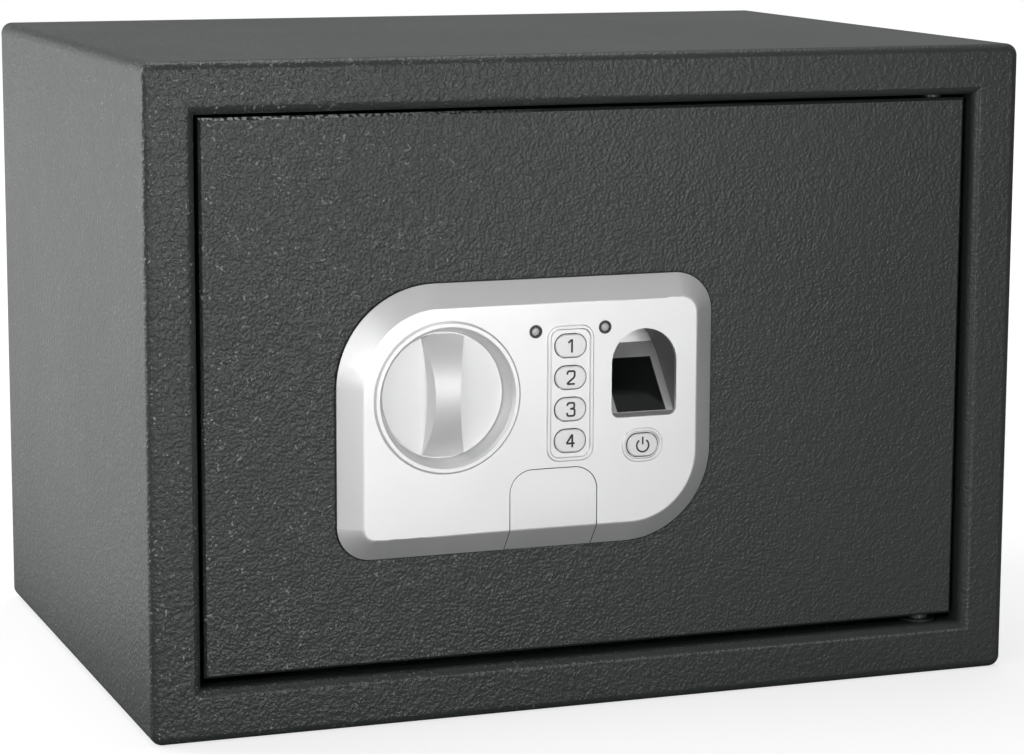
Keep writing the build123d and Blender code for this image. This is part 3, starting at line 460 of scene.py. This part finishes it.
def finish_frame_nodes():
    """Gives the CAD nodes the finish of their slot in the record."""
    slots = {part["node"]: part["material_slot"] for part in frame["record"]["subparts"]}
    for node, obj in frame["nodes"].items():
        for holder in obj.material_slots:
            holder.material = FINISHES[slots[node]]


# Pieces

def ready(piece, body, slot, *stands_for):
    """Gives a finished piece its material and the body that it rides on."""
    if not piece.data.materials:
        piece.data.materials.append(FINISHES[slot])
    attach(piece, body)
    if stands_for:
        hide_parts(*stands_for)
    return piece


def only(piece):
    """Deselects everything else and makes the piece active."""
    bpy.ops.object.select_all(action="DESELECT")
    piece.select_set(True)
    bpy.context.view_layer.objects.active = piece


def edit(piece):
    """Opens a piece in edit mode."""
    only(piece)
    bpy.ops.object.mode_set(mode="EDIT")


def leave_edit():
    bpy.ops.object.mode_set(mode="OBJECT")


def settle(piece):
    """Moves a piece's place, turn and size into its mesh."""
    only(piece)
    bpy.ops.object.transform_apply(location=True, rotation=True, scale=True)


def named(name):
    """Names the new primitive and returns it."""
    piece = bpy.context.object
    piece.name = name
    return piece


def thicken(piece, depth, offset=0):
    """Gives a sheet a thickness in millimetres, centred on it, or with offset 1 outside it."""
    only(piece)
    wall = piece.modifiers.new("thickness", "SOLIDIFY")
    wall.thickness = depth * MM
    wall.offset = offset
    bpy.ops.object.modifier_apply(modifier="thickness")


def round_edges(piece, width, segments=3):
    """Rounds the sharp edges and evens the shading of the flat faces."""
    only(piece)
    bevel = piece.modifiers.new("edges", "BEVEL")
    bevel.width = width * MM
    bevel.segments = segments
    bevel.limit_method = "ANGLE"
    bevel.angle_limit = math.radians(28)
    bpy.ops.object.modifier_apply(modifier="edges")
    bpy.ops.object.shade_smooth_by_angle(angle=math.radians(32))
    even = piece.modifiers.new("even", "WEIGHTED_NORMAL")
    even.weight = 90
    even.keep_sharp = True
    bpy.ops.object.modifier_apply(modifier="even")


def open_copy(node, name):
    """A bare copy of a CAD node, its loose triangles joined at their corners, in edit mode."""
    piece = bpy.data.objects.new(name, frame["nodes"][node].data.copy())
    piece.data.materials.clear()
    bpy.context.scene.collection.objects.link(piece)
    edit(piece)
    bpy.ops.mesh.select_all(action="SELECT")
    bpy.ops.mesh.remove_doubles(threshold=ONE_CORNER)
    return piece


def softened(node, width, segments=3):
    """A copy of a CAD node with its triangles joined into faces and its sharp edges rounded."""
    piece = open_copy(node, node + "_soft")
    bpy.ops.mesh.dissolve_limited(angle_limit=math.radians(0.6))
    leave_edit()
    round_edges(piece, width, segments)
    return piece


def give_finishes(piece, *slots):
    """Gives a piece several finishes; the first is on all its faces until others are chosen."""
    for slot in slots:
        piece.data.materials.append(FINISHES[slot])
    return piece


def paint(piece, number, chosen):
    """Puts a piece's finish of that number on the faces for which chosen says true."""
    for face in piece.data.polygons:
        if chosen(face):
            face.material_index = number
    return piece


def rounded_bar(name, place, size, rounding):
    """A small bar with rounded edges; its middle and its size are in millimetres."""
    bpy.ops.object.select_all(action="DESELECT")
    bpy.ops.mesh.primitive_cube_add(size=1)
    bar = named(name)
    bar.scale = tuple(length * MM for length in size)
    bar.location = tuple(value * MM for value in place)
    settle(bar)
    round_edges(bar, rounding)
    return bar


def printed_digit(number, height):
    """A flat digit printed on a key, drawn in strokes of one width."""
    lines = bpy.data.curves.new(f"digit_{number}", "CURVE")
    lines.dimensions = "3D"
    lines.bevel_depth = STROKE_R * MM
    lines.bevel_resolution = 2
    for shape, points in DIGITS[number]:
        stroke = lines.splines.new("NURBS" if shape == "curved" else "POLY")
        stroke.points.add(len(points) - 1)
        for point, (x, z) in zip(stroke.points, points):
            point.co = (x * MM, 0, z * MM, 1)
        if shape == "curved":
            stroke.order_u = 3
            stroke.resolution_u = 8
            stroke.use_endpoint_u = True
    digit = bpy.data.objects.new(f"digit_{number}", lines)
    bpy.context.scene.collection.objects.link(digit)
    only(digit)
    bpy.ops.object.convert(target="MESH")
    digit = bpy.context.object
    place = Matrix.Translation((KEY_X * MM, (KEY_FACE_Y - 0.03) * MM, height * MM))
    flatten = Matrix.Diagonal((1, 0.15, 1, 1))
    digit.data.transform(place @ flatten)
    return digit


def power_symbol():
    """An open ring with a bar through its gap, printed on the power key."""
    bpy.ops.object.select_all(action="DESELECT")
    upright = (math.radians(90), 0, 0)
    bpy.ops.mesh.primitive_circle_add(vertices=60, radius=2.1 * MM, rotation=upright)
    ring = named("power_symbol")
    settle(ring)
    edit(ring)
    bpy.ops.mesh.select_all(action="DESELECT")
    leave_edit()
    for vertex in ring.data.vertices:
        vertex.select = vertex.co.z > 1.72 * MM
    edit(ring)
    bpy.ops.mesh.delete(type="VERT")
    bpy.ops.mesh.select_all(action="SELECT")
    bpy.ops.mesh.extrude_edges_move()
    bpy.ops.transform.resize(value=(1.32, 1.32, 1.32), center_override=(0, 0, 0))
    bar_place = (0, 0, 1.9 * MM)
    bpy.ops.mesh.primitive_plane_add(size=1 * MM, rotation=upright, location=bar_place)
    bpy.ops.transform.resize(value=(0.65, 1, 3.0), center_override=bar_place)
    leave_edit()
    thicken(ring, 0.06)
    place = (POWER_X * MM, (KEY_FACE_Y - 0.02) * MM, (POWER_Z - 0.2) * MM)
    ring.data.transform(Matrix.Translation(place))
    return ring


def key_side(face):
    return abs(face.normal.y) < 0.3


def cover_side(face):
    """True on the cover's sides and top edge, which face the panel across a narrow gap."""
    return abs(face.normal.y) < 0.3 and face.normal.z > -0.5


def gap_wall(face):
    """True on the panel's walls round the keys and the key cover."""
    if abs(face.normal.y) > 0.5:
        return False
    place = face.center / MM
    half_x, half_z = KEY_HOLE_HALF
    keys = [(KEY_X, height) for height in KEY_ZS] + [(POWER_X, POWER_Z)]
    if any(abs(place.x - x) < half_x and abs(place.z - z) < half_z for x, z in keys):
        return True
    return COVER_LEFT - 1 < place.x < COVER_RIGHT + 1 and place.z < COVER_TOP + 1


def dish_face(face):
    """True on the curved faces of the knob's dish and its rim."""
    place = face.center / MM
    from_knob = math.hypot(place.x - KNOB_X, place.z - KNOB_Z)
    return from_knob < RIM_R + 0.5 and face.normal.y > -0.999


def panel_shadow_strip():
    """The dark strip round the panel's foot, a painted shadow where the panel meets the door, made
    from the foot's outer walls.
    """
    strip = open_copy("panel_housing", "panel_shadow_strip")
    bpy.ops.mesh.select_mode(type="FACE")
    bpy.ops.mesh.select_all(action="DESELECT")
    leave_edit()
    middle = Vector((PANEL_MIDDLE[0], 0, PANEL_MIDDLE[1])) * MM
    top, seat = (DOOR_Y - PANEL_FOOT) * MM, DOOR_Y * MM
    near = 0.01 * MM
    for face in strip.data.polygons:
        depths = [strip.data.vertices[index].co.y for index in face.vertices]
        on_foot = all(min(abs(depth - top), abs(depth - seat)) < near for depth in depths)
        outward = face.normal.dot((face.center - middle) * Vector((1, 0, 1))) > 0
        face.select = not (on_foot and abs(face.normal.y) < 0.05 and outward)
    edit(strip)
    bpy.ops.mesh.delete(type="FACE")
    bpy.ops.mesh.select_mode(type="VERT")
    leave_edit()
    for vertex in strip.data.vertices:
        if abs(vertex.co.y - top) < near:
            vertex.co.y = seat - SHADOW_STRIP_RISE * MM
    thicken(strip, SHADOW_STRIP_WALL, 1)
    return strip


def dress_key(node):
    key = give_finishes(softened(node, 0.18), "white_key", "gap_shade")
    ready(paint(key, 1, key_side), node, "white_key", node)


def dress_keys():
    for number, height in enumerate(KEY_ZS, start=1):
        node = f"key_{number}"
        dress_key(node)
        ready(printed_digit(number, height), node, "key_print")
    dress_key("power_key")
    ready(power_symbol(), "power_key", "key_print")


def dress_panel():
    """The panel's housing with a dark strip of painted shadow round its foot, the key cover and
    the knob.
    """
    housing = softened("panel_housing", 0.2)
    give_finishes(housing, "silver_plastic", "gap_shade", "soft_silver")
    paint(housing, 1, gap_wall)
    paint(housing, 2, dish_face)
    ready(housing, "door", "silver_plastic", "panel_housing")
    # A dark rubber strip round the panel's foot, a painted shadow where the panel meets the door
    ready(panel_shadow_strip(), "door", "rubber")
    cover = give_finishes(softened("key_cover", 0.15), "silver_plastic", "gap_shade")
    ready(paint(cover, 1, cover_side), "key_cover", "silver_plastic", "key_cover")
    ready(softened("knob", 0.45), "knob", "soft_silver", "knob")


def indicator_lens(number, x, z):
    """A faceted dome over the indicator's lamp."""
    bpy.ops.object.select_all(action="DESELECT")
    bpy.ops.mesh.primitive_uv_sphere_add(segments=8, ring_count=6, radius=1.7 * MM)
    lens = named(f"indicator_lens_{number}")
    edit(lens)
    bpy.ops.mesh.select_all(action="SELECT")
    bpy.ops.mesh.bisect(plane_co=(0, 0, 0), plane_no=(0, 0, 1), clear_inner=True, use_fill=True)
    bpy.ops.mesh.select_all(action="SELECT")
    bpy.ops.transform.resize(value=(1, 1, 0.5), center_override=(0, 0, 0))
    leave_edit()
    lens.data.transform(Matrix.Translation((x * MM, (PANEL_Y + 0.35) * MM, z * MM))
                        @ Matrix.Rotation(math.radians(90), 4, "X"))
    return lens


def dress_indicators():
    ready(softened("led_rings", 0.15), "door", "indicator_ring", "led_rings")
    for number, (x, z) in enumerate(LED_PLACES, start=1):
        ready(indicator_lens(number, x, z), "door", "lens_clear", "led_lenses")


def dress_pocket():
    """The fingerprint pocket: dark walls, a pale frame round the window and a silver back wall."""
    pocket = softened("print_pocket", 0.15)
    give_finishes(pocket, "grey_plastic", "pocket_frame", "silver_plastic")
    slope = math.radians(POCKET_SLOPE)
    up_from_floor = Vector((0, -math.cos(slope), math.sin(slope)))
    paint(pocket, 1, lambda face: face.normal.dot(up_from_floor) > 0.995)
    paint(pocket, 2, lambda face: face.normal.y < -0.99 and face.center.y > POCKET_BACK_Y * MM)
    ready(pocket, "door", "grey_plastic", "print_pocket")


def dress_case():
    """The case's sheets and the door plate, with a painted highlight of pale glints along its top
    edge.
    """
    ready(softened("case_wrapper", 0.2, 2), "case", "dark_coat", "case_wrapper")
    ready(softened("back_panel", 0.3, 2), "case", "dark_coat", "back_panel")
    door = give_finishes(softened("door_plate", 0.35, 2), "dark_coat", "edge_glint_coat")
    # The door's top edge takes the coat with painted glints, a painted highlight
    paint(door, 1, lambda face: face.normal.z > 0.3 and face.normal.y < -0.2)
    ready(door, "door", "dark_coat", "door_plate")


def felt_mat():
    """The mat on the case's floor: a flat sheet with two holes and a soft edge."""
    mat = softened("floor_mat", 0.9)
    ready(mat, "case", "felt", "floor_mat")


def panel_cable():
    """The cable from the panel's board through the door to the control board."""
    route = ((37.5, -121.7, 124.0), (37.5, -113.0, 124.0), (37.5, -103.4, 124.0),
             (45.0, -103.4, 147.5))
    line = bpy.data.curves.new("panel_cable_run", "CURVE")
    line.dimensions = "3D"
    line.bevel_depth = 1.6 * MM
    line.bevel_resolution = 3
    run = line.splines.new("NURBS")
    run.points.add(len(route) - 1)
    for point, place in zip(run.points, route):
        point.co = (*(value * MM for value in place), 1)
    run.order_u = 3
    run.use_endpoint_u = True
    run.resolution_u = 12
    cable = bpy.data.objects.new("panel_cable_run", line)
    bpy.context.scene.collection.objects.link(cable)
    ready(cable, "door", "black_plastic", "panel_cable")


def screw_head(name, x, z, y_seat, radius, rise):
    """A domed screw head with a cross recess, its seat at y_seat and its crown to the back."""
    bpy.ops.object.select_all(action="DESELECT")
    bpy.ops.mesh.primitive_cylinder_add(vertices=32, radius=radius * MM, depth=rise * MM,
                                        location=(0, 0, rise * MM / 2))
    head = named(name)
    settle(head)
    round_edges(head, rise * 0.55, 4)
    for turn in (0, 90):
        bpy.ops.object.select_all(action="DESELECT")
        bpy.ops.mesh.primitive_cube_add(size=1, location=(0, 0, rise * MM),
                                        rotation=(0, 0, math.radians(turn)))
        cutter = named("cross_cutter")
        cutter.scale = (radius * 1.05 * MM, radius * 0.24 * MM, rise * 1.1 * MM)
        settle(cutter)
        only(head)
        cut = head.modifiers.new("cross", "BOOLEAN")
        cut.operation = "DIFFERENCE"
        cut.solver = "EXACT"
        cut.object = cutter
        bpy.ops.object.modifier_apply(modifier="cross")
        bpy.data.objects.remove(cutter)
    head.data.transform(Matrix.Translation((x * MM, y_seat * MM, z * MM))
                        @ Matrix.Rotation(math.radians(-90), 4, "X"))
    return head


def cell_end(face):
    """True on the flat ends of the cells and the small faces of their caps."""
    return abs(face.normal.z) > 0.7 or face.area < 0.0000012


def dress_door_back():
    """The pan with its screws and ribs, the battery lid, the reset button and the cells."""
    ready(softened("inner_cover", 0.7), "door", "black_plastic", "inner_cover")
    for number, (x, z) in enumerate(POST_PLACES, start=1):
        screw = screw_head(f"pan_screw_{number}", x, z, PAN_Y + 0.15, 3.8, 1.7)
        ready(screw, "door", "bolt_steel", "cover_screws")
    for number, z in enumerate(RIB_ZS, start=1):
        middle = ((RIB_LEFT + RIB_RIGHT) / 2, PAN_Y + 0.3, z)
        rib = rounded_bar(f"pan_rib_{number}", middle, (RIB_RIGHT - RIB_LEFT, 1.2, 7.0), 0.55)
        ready(rib, "door", "black_plastic")
    ready(softened("battery_lid", 0.4), "battery_lid", "black_plastic", "battery_lid")
    for number in range(RIDGES):
        middle = (TRAY_X, PAN_Y + 2.3, TRAY_Z + 25 - number * RIDGE_STEP)
        ridge = rounded_bar(f"lid_ridge_{number + 1}", middle, (22, 1.0, 1.2), 0.45)
        ready(ridge, "battery_lid", "black_plastic")
    ready(softened("reset_button", 0.35), "reset_button", "red_button", "reset_button")
    cells = give_finishes(softened("battery_cells", 0.4), "cell_wrap", "bolt_steel")
    ready(paint(cells, 1, cell_end), "door", "cell_wrap", "battery_cells")


def dress_lock_work():
    """The working pieces that show when the door is open or the key cover is down."""
    ready(softened("lock_body", 0.3), "door", "bolt_steel", "lock_body")
    ready(softened("lock_plug", 0.15), "lock_plug", "brass", "lock_plug")
    ready(softened("locking_bolts", 0.4), "bolts", "bolt_steel", "locking_bolts")
    ready(softened("bolt_bracket", 0.3), "door", "dark_coat", "bolt_bracket")
    ready(softened("hinge_straps", 0.3), "door", "dark_coat", "hinge_straps")


place_camera()
light_studio()
white_surround()
pale_floor()
finish_frame_nodes()
dress_panel()
dress_keys()
dress_indicators()
dress_pocket()
dress_case()
felt_mat()
panel_cable()
dress_door_back()
dress_lock_work()
bpy.context.scene.view_settings.view_transform = "Standard"
